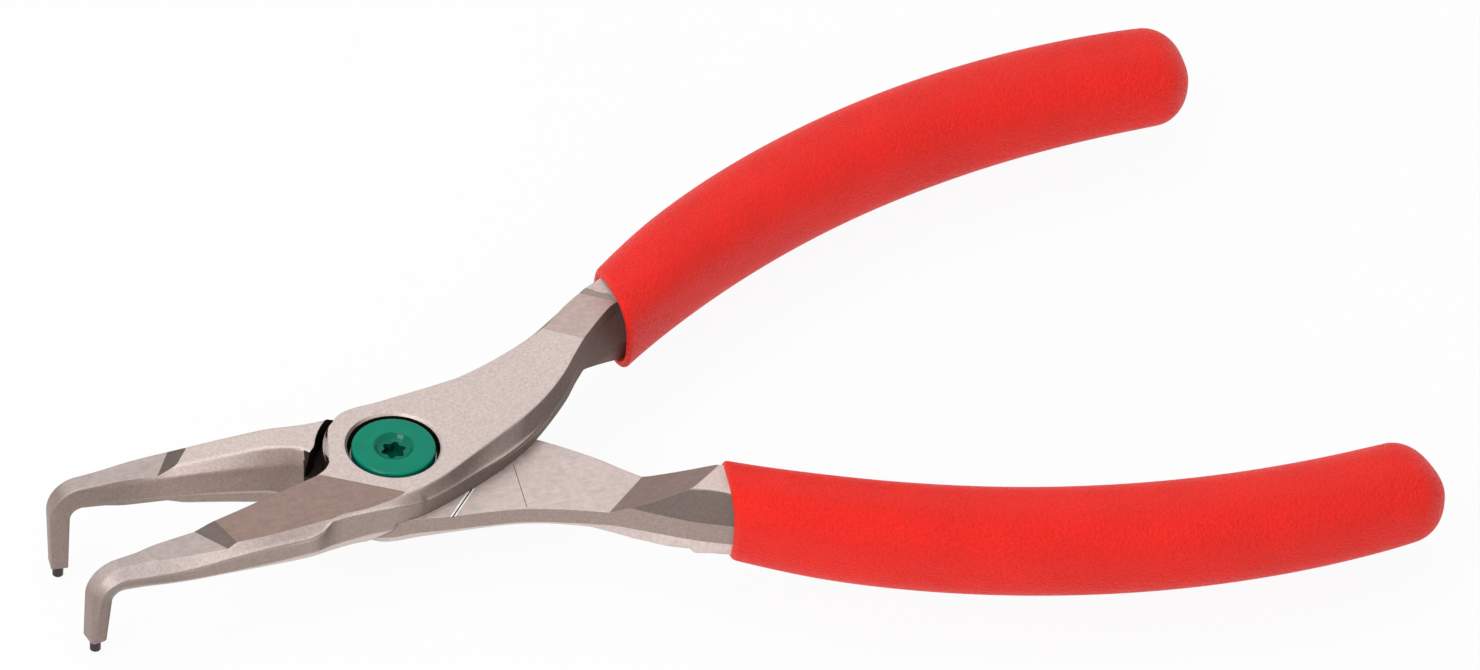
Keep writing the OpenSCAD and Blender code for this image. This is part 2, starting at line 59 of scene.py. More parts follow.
HEAD_D, HEAD_T, HEAD_SUNK, HEAD_ROUND = 10.6, 1.6, 0.12, 0.35
COUNTERBORE_D, SHOULDER_D, SHOULDER_CLEAR = 11.7, 7, 0.03
WASHER_T = 0.5
DISH_D, DISH_FLOOR_D, DISH_DEPTH = 5.2, 3.4, 0.7
DRIVE_D, DRIVE_DEPTH = 3.2, 1.3
THREAD_D, NUT_T, NUT_FLATS, NUT_CLEAR = 5, 1.8, 8, 0.08
SEAT_CLEAR, BORE_CHAMFER, OVERRUN = 0.02, 0.3, 1
COIL_R, WIRE_D, COIL_START, COIL_TURNS = 5.6, 0.7, 30, 1.6
POCKET_DEPTH, POCKET_ROOM, TANG_IN, TANG_CLEAR = 1, 0.45, 0.5, 0.08

LOWER_LAP_Z = PLATE_T
UPPER_LAP_Z = PLATE_T + LAP_GAP
JAW_RUN = JAW_REACH - BEND_R

# A place runs from -2 at the bend over -1 at the jaw's root and 0 at the pivot to 1 at the
# sleeve. The plate's round end starts at PLATE_END and gives way to the tables at ROUND_SHARE
# of that. From the pivot to the sleeve the tables are offsets from a spine, which rises with
# a power of the place.
PLATE_LEFT = 8.7
PLATE_END = -PLATE_LEFT / JAW_ROOT
ROUND_SHARE = 0.42
SPINE_POWER = 1.6

# Outline of a forging as shares of JOINT_HALF: the place, then the outer face, the upper
# and the lower edge of the flange, and the inner face
JAW_LO = [
    (-2, -0.3, -0.45, -0.43, -0.4), (-1.85, -0.36, -0.56, -0.54, -0.47),
    (-1.71, -0.39, -0.63, -0.61, -0.53), (-1.53, -0.47, -0.68, -0.66, -0.58),
    (-1.32, -0.62, -0.75, -0.73, -0.64), (-1.14, -0.68, -0.84, -0.78, -0.66),
    (-1.03, -0.72, -0.82, -0.78, -0.65), (-0.71, -0.8, -0.9, -0.84, -0.66),
    (-0.36, -0.86, -0.95, -0.89, -0.76), (-0.09, -0.85, -0.94, -0.9, -0.86),
    (0, -0.84, -0.92, -0.9, -0.9)]
JAW_HI = [
    (-2, -0.1, -0.1, -0.12, -0.14), (-1.75, -0.11, -0.11, -0.16, -0.24),
    (-1.53, -0.12, -0.11, -0.15, -0.3), (-1.17, -0.1, -0.06, -0.15, -0.32),
    (-1, -0.08, -0.04, -0.1, -0.2), (-0.77, 0.09, 0.1, 0.1, 0.1),
    (-0.53, 0.63, 0.74, 0.74, 0.74), (-0.42, 0.73, 0.83, 0.83, 0.83),
    (-0.36, 0.79, 0.86, 0.86, 0.86), (-0.25, 0.84, 0.91, 0.91, 0.91),
    (-0.13, 0.85, 0.95, 0.95, 0.95), (0, 0.84, 0.96, 0.96, 0.96)]
NECK_LO = [
    (0, -0.84, -0.92, -0.9, -0.9), (0.09, -0.78, -0.88, -0.86, -0.86),
    (0.21, -0.68, -0.83, -0.83, -0.83), (0.34, -0.61, -0.82, -0.78, -0.75),
    (0.45, -0.58, -0.77, -0.71, -0.68), (0.55, -0.53, -0.66, -0.6, -0.57),
    (0.65, -0.42, -0.5, -0.48, -0.44), (0.72, -0.3, -0.35, -0.36, -0.32),
    (0.8, -0.18, -0.22, -0.28, -0.23), (0.88, -0.09, -0.15, -0.31, -0.25),
    (0.95, -0.06, -0.14, -0.37, -0.3), (1, -0.12, -0.22, -0.43, -0.34)]
NECK_HI = [
    (0, 0.84, 0.96, 0.96, 0.96), (0.13, 0.75, 0.91, 0.91, 0.91),
    (0.25, 0.63, 0.81, 0.81, 0.81), (0.35, 0.52, 0.71, 0.71, 0.71),
    (0.45, 0.44, 0.64, 0.64, 0.64), (0.58, 0.39, 0.57, 0.57, 0.5),
    (0.65, 0.38, 0.54, 0.54, 0.44), (0.72, 0.38, 0.54, 0.54, 0.4),
    (0.8, 0.42, 0.54, 0.54, 0.33), (0.88, 0.42, 0.52, 0.52, 0.25),
    (0.95, 0.38, 0.47, 0.47, 0.22), (1, 0.33, 0.42, 0.44, 0.24)]

# Heights of the same four as shares of PLATE_T
LEVELS = [
    (-2, 0.32, 0.12, -0.19, -0.36), (-1.9, 0.34, 0.14, -0.21, -0.38),
    (-1.75, 0.5, 0.16, -0.28, -0.48), (-1.56, 0.6, 0.21, -0.38, -0.57),
    (-1.32, 0.79, 0.26, -0.4, -0.69), (-1.17, 0.95, 0.32, -0.4, -0.8),
    (-1.1, 1, 0.45, -0.4, -0.84), (-1.06, 1, 0.66, -0.36, -0.85),
    (-0.7, 1, 0.76, -0.26, -0.9), (-0.4, 1, 0.72, -0.26, -0.95),
    (0, 1, 0.52, -0.26, -1), (0.7, 1, 0.5, -0.26, -1), (0.86, 1, 0.5, -0.24, -1),
    (0.93, 0.92, 0.5, -0.24, -1.07), (1, 0.97, 0.5, -0.24, -1.12)]

# Painted highlights along the groove's edges, and a fine line scribed across each lap face
GROOVE_EDGE, GROOVE_EDGE_DEPTH = 0.24, 0.05
SCRIBE_X, SCRIBE_W, SCRIBE_SPAN = 15.1, 0.07, (1.5, 9.5)

# Draft of the lower lever's neck at its underside, in millimetres at each place, which takes a
# painted light, the lap faces' light steel, beyond DRAFT_X
DRAFT_X = 24
SKIRT = [(0.58, 0), (0.7, 1.1), (0.8, 1.5), (0.93, 1.1), (1, 0.7)]

# Finish of the forging: rounding of its edges and height of the parting bead, on two of a
# ring's corners. A rounding takes up no more than this share of a side.
FACE_EDGE, FLANGE_EDGE, FLASH = 0.35, 0.3, 0.09
FLANGE_CORNERS = (1, 6)
LONGEST_ROUNDING = 0.4

# Fineness of the meshes: points and steps, and the distance between stations
FACE_POINTS, BAND_POINTS, CORNER_POINTS = 14, 5, 6
STATION_PITCH = 0.3
LEG_STEPS, BEND_STEPS, CORE_STEPS = 20, 16, 12
PLATE_ARC, PLATE_STEPS = (4, 65), 30
ROUND_POINTS, FINE_POINTS = 128, 192
HOLE_POINTS, STAR_POINTS = 32, 144
GRIP_POINTS, GRIP_STEPS, GRIP_END_STEPS, LIP_STEPS = 96, 90, 24, 8
CORNER_STEPS, BOWL_STEPS = 12, 12
TINY, AXIS_R = 1e-6, 1e-4

# Angles from which an edge is shaded sharp
SHARP_EDGE, SHARP_GRIP_EDGE = 32, 60


def row_at(u, rows):
    """Index of the row that the place u comes after."""
    return max(k for k in range(len(rows) - 1) if k == 0 or rows[k][0] <= u)


def cubic(u, rows, column):
    """Value of a column at place u, on a cubic through the rows."""
    last = len(rows) - 1
    i = row_at(u, rows)
    width = rows[i + 1][0] - rows[i][0]
    s = (u - rows[i][0]) / width

    def rise(k):
        a, b = max(k - 1, 0), min(k + 1, last)
        return (rows[b][column] - rows[a][column]) / (rows[b][0] - rows[a][0])

    return (
        rows[i][column] * (1 + 2 * s) * (1 - s) ** 2
        + rows[i + 1][column] * s * s * (3 - 2 * s)
        + rise(i) * width * s * (1 - s) ** 2
        - rise(i + 1) * width * s * s * (1 - s)
    )


def linear(u, rows, column):
    """Value of a column at place u, on straight lines through the rows."""
    i = row_at(u, rows)
    s = (u - rows[i][0]) / (rows[i + 1][0] - rows[i][0])
    return rows[i][column] + (rows[i + 1][column] - rows[i][column]) * s


def place_x(u):
    """Distance from the pivot at place u, along the closed tool."""
    if u < -1:
        return -JAW_ROOT + (u + 1) * (JAW_RUN - JAW_ROOT)
    return u * (JAW_ROOT if u < 0 else NECK_REACH)


def bow_y(x):
    """Middle line of the bowed handle."""
    return CREST_Y - BOW_R + math.sqrt(BOW_R ** 2 - (x - CREST_X) ** 2)


def spine_y(u):
    """Rise of the spine that the neck's outline follows."""
    return bow_y(NECK_REACH) * u ** SPINE_POWER if u > 0 else 0


def lo_at(u, c):
    """Lower side of the outline at place u, in column c of the tables."""
    if u < 0:
        return JOINT_HALF * cubic(u, JAW_LO, c)
    return spine_y(u) + JOINT_HALF * cubic(u, NECK_LO, c)


def hi_at(u, c):
    """Upper side of the outline, with the plate's round end."""
    if PLATE_END < u < PLATE_END * ROUND_SHARE and c > 1:
        return PLATE_R * math.sqrt(1 - (u / PLATE_END) ** 2)
    if u < 0:
        return JOINT_HALF * cubic(u, JAW_HI, c)
    return spine_y(u) + JOINT_HALF * cubic(u, NECK_HI, c)


def level_at(u, c):
    """Height at place u, in column c of the tables."""
    return PLATE_T * linear(u, LEVELS, c)


def forging_ring(u, skirt):
    """Ring of eight corners. The skirt widens the outer face on the inner side of the neck."""
    low = [Vector((place_x(u), lo_at(u, c), level_at(u, c))) for c in (1, 2, 3, 4)]
    high = [Vector((place_x(u), hi_at(u, c), level_at(u, c))) for c in (4, 3, 2, 1)]
    if u > SKIRT[0][0]:
        high[3].y += skirt * linear(u, SKIRT, 1)
    return low + high


# Height of the bend's middle, and the section at the leg's end as shares of half its length
# and of its width
BEND_MID = (level_at(-2, 1) + level_at(-2, 4)) / 2
LEG_LEVELS = (1, 0.6, -0.6, -1)
LEG_EDGES = (0.9, 1, 1, 0.9)


def leg_ring(side, turn, run):
    """Ring of the bend at angle turn, or of the leg at a run below it."""
    straight = LEG_DROP - BEND_R + side * BEND_MID
    mix = (BEND_R * math.radians(turn) + run) / (BEND_R * math.pi / 2 + straight)
    sine, cosine = math.sin(math.radians(turn)), math.cos(math.radians(turn))

    def point(c, lateral):
        up = (level_at(-2, c) - BEND_MID) * (1 - mix) + LEG_LEVELS[c - 1] * LEG_END_L / 2 * mix
        return Vector((
            -JAW_RUN - BEND_R * sine - side * up * sine,
            lateral,
            BEND_MID - side * (BEND_R * (1 - cosine) + run) + up * cosine,
        ))

    low = [
        point(c, lo_at(-2, c) * (1 - mix) - (TIP_GAP + LEG_END_W * LEG_EDGES[c - 1]) * mix)
        for c in (1, 2, 3, 4)
    ]
    high = [point(c, hi_at(-2, c) * (1 - mix) - TIP_GAP * mix) for c in (4, 3, 2, 1)]
    return low + high


def leg_rings(side):
    """Rings of the leg and the bend. The side is 1 on the upper lever and -1 on the lower."""
    straight = LEG_DROP - BEND_R + side * BEND_MID
    legs = [leg_ring(side, 90, straight * (1 - k / LEG_STEPS)) for k in range(LEG_STEPS)]
    return legs + [leg_ring(side, 90 * (1 - k / BEND_STEPS), 0) for k in range(BEND_STEPS)]


def bow_angle(x):
    """Angle on the bow of the handle, in degrees from its crest."""
    return math.degrees(math.asin((x - CREST_X) / BOW_R))


def run_angle(length):
    """Angle that a length takes up on the bow."""
    return math.degrees(length / BOW_R)


def bow_point(a, w, z):
    """Point beside the bow at angle a, w outwards and z high."""
    sine, cosine = math.sin(math.radians(a)), math.cos(math.radians(a))
    return Vector((CREST_X + (BOW_R + w) * sine, CREST_Y - BOW_R + (BOW_R + w) * cosine, z))


SECTION_POWER = 0.77


def soft(v):
    """Makes a circle's sine or cosine that of a fuller oval."""
    return math.copysign(abs(v) ** SECTION_POWER, v)


MOUTH_ANGLE = bow_angle(NECK_REACH)
GRIP_END_ANGLE = bow_angle(GRIP_END_X)
CORE_START = MOUTH_ANGLE + run_angle(GRIP_END_WALL / 2)
CORE_END = GRIP_END_ANGLE - run_angle(GRIP_END_WALL)
CORE_CORNERS = (120, 150, 210, 240, 300, 330, 390, 420)


def section_point(a, w, h, t):
    """Point at t degrees on an oval section of the handle."""
    t = math.radians(t)
    return bow_point(a, w * soft(math.cos(t)), h * soft(math.sin(t)))


def core_ring(a):
    """Ring of eight corners inside a sleeve."""
    return [section_point(a, CORE_HALF_W, CORE_HALF_H, t) for t in CORE_CORNERS]


def steps(start, stop, count):
    """Even steps from start on, without stop."""
    return [start + (stop - start) * k / count for k in range(count)]


def forging_rings(side, skirt):
    """All rings of eight corners, from the leg's end to the end of the steel in the grip."""
    jaw = steps(-2, PLATE_END, round((JAW_RUN - PLATE_R) / STATION_PITCH))
    arc = [PLATE_END * math.cos(math.radians(a)) for a in steps(*PLATE_ARC, PLATE_STEPS)]
    joint = steps(PLATE_END * ROUND_SHARE, 0, round(ROUND_SHARE * PLATE_R / STATION_PITCH))
    neck = steps(0, 1, round(NECK_REACH / STATION_PITCH)) + [1]
    rings = leg_rings(side) + [forging_ring(u, skirt) for u in jaw + arc + joint + neck]
    return rings + [core_ring(a) for a in steps(CORE_START, CORE_END, CORE_STEPS) + [CORE_END]]


def rounded(ring):
    """The ring with its corners rounded, a flash line on the flange, and points between."""
    radii = (FACE_EDGE, FLANGE_EDGE, FLANGE_EDGE, FACE_EDGE) * 2
    counts = (BAND_POINTS, BAND_POINTS, BAND_POINTS, FACE_POINTS) * 2
    starts, ends, curves = [], [], []
    for i, corner in enumerate(ring):
        before, after = ring[i - 1] - corner, ring[(i + 1) % 8] - corner
        start = corner + before * min(radii[i] / max(before.length, TINY), LONGEST_ROUNDING)
        end = corner + after * min(radii[i] / max(after.length, TINY), LONGEST_ROUNDING)
        out = (start + end - ring[i - 1] - ring[(i + 1) % 8]).normalized()
        flash = FLASH if i in FLANGE_CORNERS else 0
        curves.append([
            start * (1 - s) ** 2 + corner * 2 * s * (1 - s) + end * s * s
            + out * flash * math.sin(math.pi * s)
            for s in (k / CORNER_POINTS for k in range(CORNER_POINTS + 1))
        ])
        starts.append(start)
        ends.append(end)
    points = []
    for i in range(8):
        points += curves[i]
        following = starts[(i + 1) % 8]
        points += [
            ends[i].lerp(following, k / (counts[i] + 1)) for k in range(1, counts[i] + 1)
        ]
    return points


END_FACES = 2


def loft(name, rings, materials):
    """A closed mesh through rings with equal numbers of points, its two end faces first."""
    mesh = bpy.data.meshes.new(name)
    n = len(rings[0])
    faces = [tuple(range(n)), tuple((len(rings) - 1) * n + j for j in range(n - 1, -1, -1))]
    for i in range(len(rings) - 1):
        for j in range(n):
            a, b = i * n + j, i * n + (j + 1) % n
            faces.append((b, a, a + n, b + n))
    mesh.from_pydata([tuple(p) for ring in rings for p in ring], [], faces)
    for material in materials:
        mesh.materials.append(material)
    obj = bpy.data.objects.new(name, mesh)
    bpy.context.collection.objects.link(obj)
    return obj


def prism(name, outline, z0, z1, material):
    """A solid between two heights over a plane outline."""
    bottom = [Vector((x, y, z0)) for x, y in outline]
    top = [Vector((x, y, z1)) for x, y in outline]
    return loft(name, [bottom, top], [material])


def box(name, x0, x1, y0, y1, z0, z1, material):
    return prism(name, [(x0, y0), (x1, y0), (x1, y1), (x0, y1)], z0, z1, material)


def bar(name, profile, half, materials, second):
    """A solid along Y over a profile in X and Z. Its side number second has the other material."""
    sides = [[Vector((x, y, z)) for x, z in profile] for y in (half, -half)]
    solid = loft(name, sides, materials)
    solid.data.polygons[END_FACES + second].material_index = 1
    return solid


def circle(radius, count=ROUND_POINTS):
    """Points of a circle about the pivot."""
    return [
        (radius * math.cos(2 * math.pi * k / count), radius * math.sin(2 * math.pi * k / count))
        for k in range(count)
    ]


def lathe(name, profile, material, count=ROUND_POINTS):
    """A closed solid turned from a profile of (radius, height) points."""
    rings = []
    for radius, height in profile:
        rings.append([Vector((x, y, height)) for x, y in circle(max(radius, AXIS_R), count)])
    return loft(name, rings, [material])


def moved(obj, matrix):
    obj.data.transform(matrix)
    return obj


def turned(degrees, axis):
    return Matrix.Rotation(math.radians(degrees), 4, axis)


def shifted(x, y, z):
    return Matrix.Translation((x, y, z))


def oriented(obj):
    """Faces of the mesh turned outwards."""
    work = bmesh.new()
    work.from_mesh(obj.data)
    bmesh.ops.recalc_face_normals(work, faces=work.faces)
    work.to_mesh(obj.data)
    work.free()
    return obj


def cut(obj, cutters):
    """Takes the cutters away from the object, keeping the cutters' materials on the cuts."""
    for cutter in cutters:
        oriented(cutter)
        modifier = obj.modifiers.new("cut", "BOOLEAN")
        modifier.operation = "DIFFERENCE"
        modifier.solver = "EXACT"
        modifier.material_mode = "TRANSFER"
        modifier.object = cutter
        bpy.context.view_layer.update()
        result = bpy.data.meshes.new_from_object(
            obj.evaluated_get(bpy.context.evaluated_depsgraph_get())
        )
        obj.modifiers.clear()
        obj.data = result
        bpy.data.objects.remove(cutter)
    return obj


def smooth(obj, degrees):
    """Smooth shading, with sharp edges where it turns hard or where two finishes meet."""
    work = bmesh.new()
    work.from_mesh(obj.data)
    for face in work.faces:
        face.smooth = True
    for edge in work.edges:
        if len(edge.link_faces) == 2:
            one, two = edge.link_faces
            hard = edge.calc_face_angle(0) > math.radians(degrees)
            edge.smooth = not hard and one.material_index == two.material_index
    work.to_mesh(obj.data)
    work.free()
    return obj


# Rounding of an edge's highlight, in metres
EDGE_LIGHT = 0.0002


class Nodes:
    """A material's node tree, with short calls for the nodes that this script uses."""

    def __init__(self, name):
        self.material = bpy.data.materials.new(name)
        self.material.use_nodes = True
        self.tree = self.material.node_tree
        self.shader = self.tree.nodes["Principled BSDF"]

    def add(self, kind, inputs=None, **settings):
        node = self.tree.nodes.new(kind)
        for key, value in settings.items():
            setattr(node, key, value)
        for key, value in (inputs or {}).items():
            if isinstance(value, bpy.types.NodeSocket):
                self.tree.links.new(value, node.inputs[key])
            else:
                node.inputs[key].default_value = value
        return node

    def set(self, **inputs):
        for key, value in inputs.items():
            socket = self.shader.inputs[key.replace("_", " ")]
            if isinstance(value, bpy.types.NodeSocket):
                self.tree.links.new(value, socket)
            else:
                socket.default_value = value

    def place(self, stretch=(1, 1, 1), turn=0):
        """Coordinates of the object, stretched and turned about its upright axis."""
        where = self.add("ShaderNodeTexCoord").outputs["Object"]
        return self.add(
            "ShaderNodeMapping",
            {"Vector": where, "Scale": stretch, "Rotation": (0, 0, math.radians(turn))},
        ).outputs["Vector"]

    def noise(self, where, scale, detail=2.0, roughness=0.5):
        return self.add(
            "ShaderNodeTexNoise",
            {"Vector": where, "Scale": scale, "Detail": detail, "Roughness": roughness},
        ).outputs["Fac"]

    def ramp(self, value, low, high, stops=(0.35, 0.65)):
        node = self.add("ShaderNodeValToRGB", {"Fac": value})
        node.color_ramp.elements[0].position = stops[0]
        node.color_ramp.elements[1].position = stops[1]
        node.color_ramp.elements[0].color = (*low, 1)
        node.color_ramp.elements[1].color = (*high, 1)
        return node.outputs["Color"]

    def speckled(self, value, color):
        """The colour, a little darker and lighter with a noise."""
        darker, lighter = shade(color, 0.82), shade(color, 1.14)
        return self.ramp(value, darker, lighter, stops=(0.3, 0.7))

    def blend(self, share, one, other):
        """The one colour where the share is 0, and the other where it is 1."""
        node = self.add("ShaderNodeMix", data_type="RGBA")
        for socket, value in ((0, share), (6, one), (7, other)):
            self.tree.links.new(value, node.inputs[socket])
        return node.outputs[2]

    def math(self, operation, *values):
        return self.add(
            "ShaderNodeMath", dict(enumerate(values)), operation=operation
        ).outputs[0]

    def mix_value(self, share, one, other):
        """The one value where the share is 0, and the other where it is 1."""
        return self.add("ShaderNodeMix", {0: share, 2: one, 3: other}).outputs[0]

    def span(self, value, low, high, stops=(0.3, 0.7)):
        """A value that goes from low to high between the stops."""
        limits = {"From Min": stops[0], "From Max": stops[1], "To Min": low, "To Max": high}
        return self.add("ShaderNodeMapRange", {"Value": value, **limits}).outputs["Result"]

    def bump(self, height, distance, strength, normal=None):
        inputs = {"Height": height, "Distance": distance, "Strength": strength}
        if normal is not None:
            inputs["Normal"] = normal
        return self.add("ShaderNodeBump", inputs).outputs["Normal"]

    def round_edges(self):
        """A normal that catches light on the edges as if they were rounded."""
        return self.add("ShaderNodeBevel", {"Radius": EDGE_LIGHT}, samples=6).outputs["Normal"]


def shade(color, factor):
    return tuple(c * factor for c in color)


# Linear colours
FACE = (0.7, 0.58, 0.543)
# The forged sides: darker than the flat faces partly as a finish and partly as painted shade
SIDE = (0.37, 0.28, 0.245)
# Ground steel darkened by painted shade, on the jaw's sloping facet
SLOPE_SHADE = (0.3, 0.205, 0.173)
GROUND = (0.6, 0.46, 0.42)
# Ground steel darkened by painted shade, on the lap's ramp
RAMP_SHADE = (0.3, 0.215, 0.19)
# Ground steel darkened most by painted shade, in the jaw's notch
NOTCH_SHADE = (0.14, 0.1, 0.085)
# Painted shadow: near-black steel in gaps, recesses and grooves
SHADOW_BROWN = (0.05, 0.035, 0.03)
RED = (0.98, 0.012, 0.004)
GREEN = (0.0, 0.22, 0.134)
GUNMETAL = (0.06, 0.055, 0.055)
# Painted highlight: white for the groove's edges
HIGHLIGHT_WHITE = (1.0, 0.97, 0.95)
MACHINED = (0.5, 0.48, 0.46)
WIRE_GREY = (0.25, 0.24, 0.23)
GRIP_HAZE = (1.0, 0.4, 0.34, 1)

# A painted shade makes the jaws' ground fronts a little darker, from the notch to the bend, and
# darkens the enamel in the screw's bowl. Spans along the tool are in metres.
FRONT_SPAN = (-0.034, -0.028)
GROUND_SHADE_SHARE, GROUND_SIDE_SHADE_SHARE = 0.7, 0.8
FRONT_SHADE_SHARE = 0.74
BOWL_SHADE_SHARE, RECESS_SHADE_SHARE = 0.7, 0.35

# A painted shade darkens the necks' sloping sides beyond this place, and sides turned to the grips
NECK_SPAN, SLOPING = (0.021, 0.026), (0.15, 0.3)
TURNED_SPAN = (0.05, 0.4)
SIDE_SHADE_SHARE = 0.5
BARE_ROUGHNESS, SHADED_SIDE_ROUGHNESS = 0.46, 0.7

# How far a face has to look up to take the flat faces' light colour, not the sides' darker one,
# which is partly a finish and partly painted shade. It is far on sides with painted shade, and
# on the far jaw up to its ridge, where this paints shade. A face that looks down always takes
# the light colour, a painted light.
LOOSE, STRICT, DOWNWARD = (0.2, 0.8), (0.7, 0.95), (-0.5, -0.15)
ROOT_SPAN, FAR_SPAN = (-0.012, -0.01), (0.0, 0.001)


def forged_steel():
    """Satin steel with a fine speckle: darker on the forged sides than on the flat faces,
    partly as a finish and partly as painted shade.
    """
    n = Nodes("forged_steel")
    where = n.place()
    speck = n.noise(where, scale=3000, detail=3, roughness=0.7)
    coords = n.add("ShaderNodeTexCoord").outputs
    normal = n.add("ShaderNodeSeparateXYZ", {"Vector": coords["Normal"]}).outputs
    spot = n.add("ShaderNodeSeparateXYZ", {"Vector": coords["Object"]}).outputs
    along = spot["X"]
    flat = n.math("ABSOLUTE", normal["Z"])
    # Painted shade on the necks' sloping sides and on sides turned to the grips
    neck = n.math("MULTIPLY", n.span(along, 0.0, 1.0, NECK_SPAN), n.span(flat, 0.0, 1.0, SLOPING))
    shaded_side = n.math("MAXIMUM", n.span(normal["X"], 0.0, 1.0, TURNED_SPAN), neck)
    # Painted light: a face that looks down takes the flat faces' light colour
    under = n.span(normal["Z"], 1.0, 0.0, DOWNWARD)
    loose, strict = n.span(flat, 0.0, 1.0, LOOSE), n.span(flat, 0.0, 1.0, STRICT)
    # Painted shade: the far jaw's strips keep the sides' darker colour up to its ridge
    far_jaw_shade = n.math(
        "MULTIPLY", n.span(along, 1.0, 0.0, ROOT_SPAN), n.span(spot["Y"], 0.0, 1.0, FAR_SPAN)
    )
    share = n.mix_value(n.math("MAXIMUM", shaded_side, far_jaw_shade), loose, strict)
    share = n.math("MAXIMUM", under, share)
    side = n.blend(shaded_side, n.speckled(speck, SIDE), n.speckled(speck, shade(SIDE, SIDE_SHADE_SHARE)))
    forged = n.blend(share, side, n.speckled(speck, FACE))
    # Painted shade makes the jaws' fronts darker, from the notch to the bend
    ground_side = n.speckled(speck, shade(SIDE, GROUND_SIDE_SHADE_SHARE))
    ground = n.blend(share, ground_side, n.speckled(speck, shade(FACE, GROUND_SHADE_SHARE)))
    n.set(
        Base_Color=n.blend(n.span(along, 1.0, 0.0, FRONT_SPAN), forged, ground),
        Metallic=0.4,
        Roughness=n.span(shaded_side, BARE_ROUGHNESS, SHADED_SIDE_ROUGHNESS, (0, 1)),
        Normal=n.bump(speck, distance=0.00005, strength=0.6, normal=n.round_edges()),
    )
    return n.material


def ground_steel(name, color, turn, metallic=0.4):
    """Ground steel with fine marks along one direction, turned in degrees."""
    n = Nodes(name)
    where = n.place(stretch=(400, 3600, 600), turn=turn)
    marks = n.noise(where, scale=1, detail=3, roughness=0.6)
    patch = n.noise(n.place(), scale=420, detail=2)
    clouds = n.noise(n.place(), scale=1300, detail=3)
    mottle = n.math("MULTIPLY", n.math("ADD", marks, clouds), 0.5)
    n.set(
        Base_Color=n.speckled(mottle, color),
        Metallic=metallic,
        Roughness=n.span(patch, 0.4, 0.5),
        Normal=n.bump(marks, distance=0.00003, strength=0.6, normal=n.round_edges()),
    )
    return n.material


def red_vinyl():
    """Dipped vinyl with a fine orange-peel grain."""
    n = Nodes("red_vinyl")
    where = n.place()
    grain = n.noise(where, scale=2600, detail=3, roughness=0.6)
    cloud = n.noise(where, scale=120, detail=2)
    n.set(
        Base_Color=n.ramp(cloud, shade(RED, 0.93), RED),
        Roughness=n.span(grain, 0.36, 0.5),
        Normal=n.bump(grain, distance=0.0005, strength=1.0),
        Specular_IOR_Level=0.3,
        Sheen_Weight=0.15,
        Sheen_Roughness=0.3,
        Sheen_Tint=GRIP_HAZE,
    )
    return n.material


def green_enamel(name, color):
    """Glossy enamel with a faint ripple."""
    n = Nodes(name)
    ripple = n.noise(n.place(), scale=380, detail=2)
    n.set(
        Base_Color=n.ramp(ripple, shade(color, 0.92), color),
        Roughness=0.12,
        Specular_IOR_Level=0.2,
        Normal=n.bump(ripple, distance=0.00003, strength=0.3),
    )
    return n.material


def plain_steel(name, color, roughness):
    """Machined steel with a fine speckle."""
    n = Nodes(name)
    speck = n.noise(n.place(), scale=3000, detail=3)
    n.set(
        Base_Color=n.ramp(speck, shade(color, 0.8), shade(color, 1.15)),
        Metallic=0.9,
        Roughness=n.span(speck, roughness - 0.06, roughness + 0.08),
        Normal=n.bump(speck, distance=0.00002, strength=0.4),
    )
    return n.material


STEEL = forged_steel()
FACET = ground_steel("ground_facet", GROUND, turn=20)
# Painted shade: a darker copy of ground steel for the lap's ramp
SHADED_RAMP = ground_steel("ground_ramp_painted_shade", RAMP_SHADE, turn=20)
# Painted shade: a near-black copy of ground steel for the jaw's notch
SHADED_NOTCH = ground_steel("ground_notch_painted_shade", NOTCH_SHADE, turn=110, metallic=0.2)
# Painted shade: a darker copy of ground steel for the jaw's sloping facet
SHADED_SLOPE = ground_steel("ground_slope_painted_shade", SLOPE_SHADE, turn=50)
LAP = ground_steel("lap_face", FACE, turn=70)
# Painted shade: a darker copy of the lap steel for the jaws' thinned fronts
THINNED = ground_steel("ground_front", shade(FACE, FRONT_SHADE_SHARE), turn=80)
# Painted shadow: near-black steel for the walls of gaps, recesses, bores and grooves
SHADOW_STEEL = plain_steel("bore", SHADOW_BROWN, roughness=0.5)
VINYL = red_vinyl()
ENAMEL = green_enamel("green_enamel", GREEN)
# Painted shade: darker copies of the enamel for the screw's bowl and, darker still, its recess
BOWL_SHADE_ENAMEL = green_enamel("bowl_enamel_painted_shade", shade(GREEN, BOWL_SHADE_SHARE))
RECESS_SHADE_ENAMEL = green_enamel("recess_enamel_painted_shade", shade(GREEN, RECESS_SHADE_SHARE))
DARK = plain_steel("gunmetal", GUNMETAL, roughness=0.38)
# Painted highlight: white, not metal, along the groove's edges
GROOVE_HIGHLIGHT = ground_steel("groove_edge_painted_highlight", HIGHLIGHT_WHITE, turn=126, metallic=0.0)
BRIGHT = plain_steel("machined", MACHINED, roughness=0.3)
WIRE = plain_steel("spring_wire", WIRE_GREY, roughness=0.35)


def walled(name, outline, z0, z1):
    """A cutter that leaves a lap face as its floor and painted shadow on its walls."""
    piece = prism(name, outline, z0, z1, LAP)
    piece.data.materials.append(SHADOW_STEEL)
    for face in piece.data.polygons[END_FACES:]:
        face.material_index = 1
    return piece


# Depth of the shoulder's corner below its middle, as a share of JOINT_HALF
CORNER_SHARE = 0.05


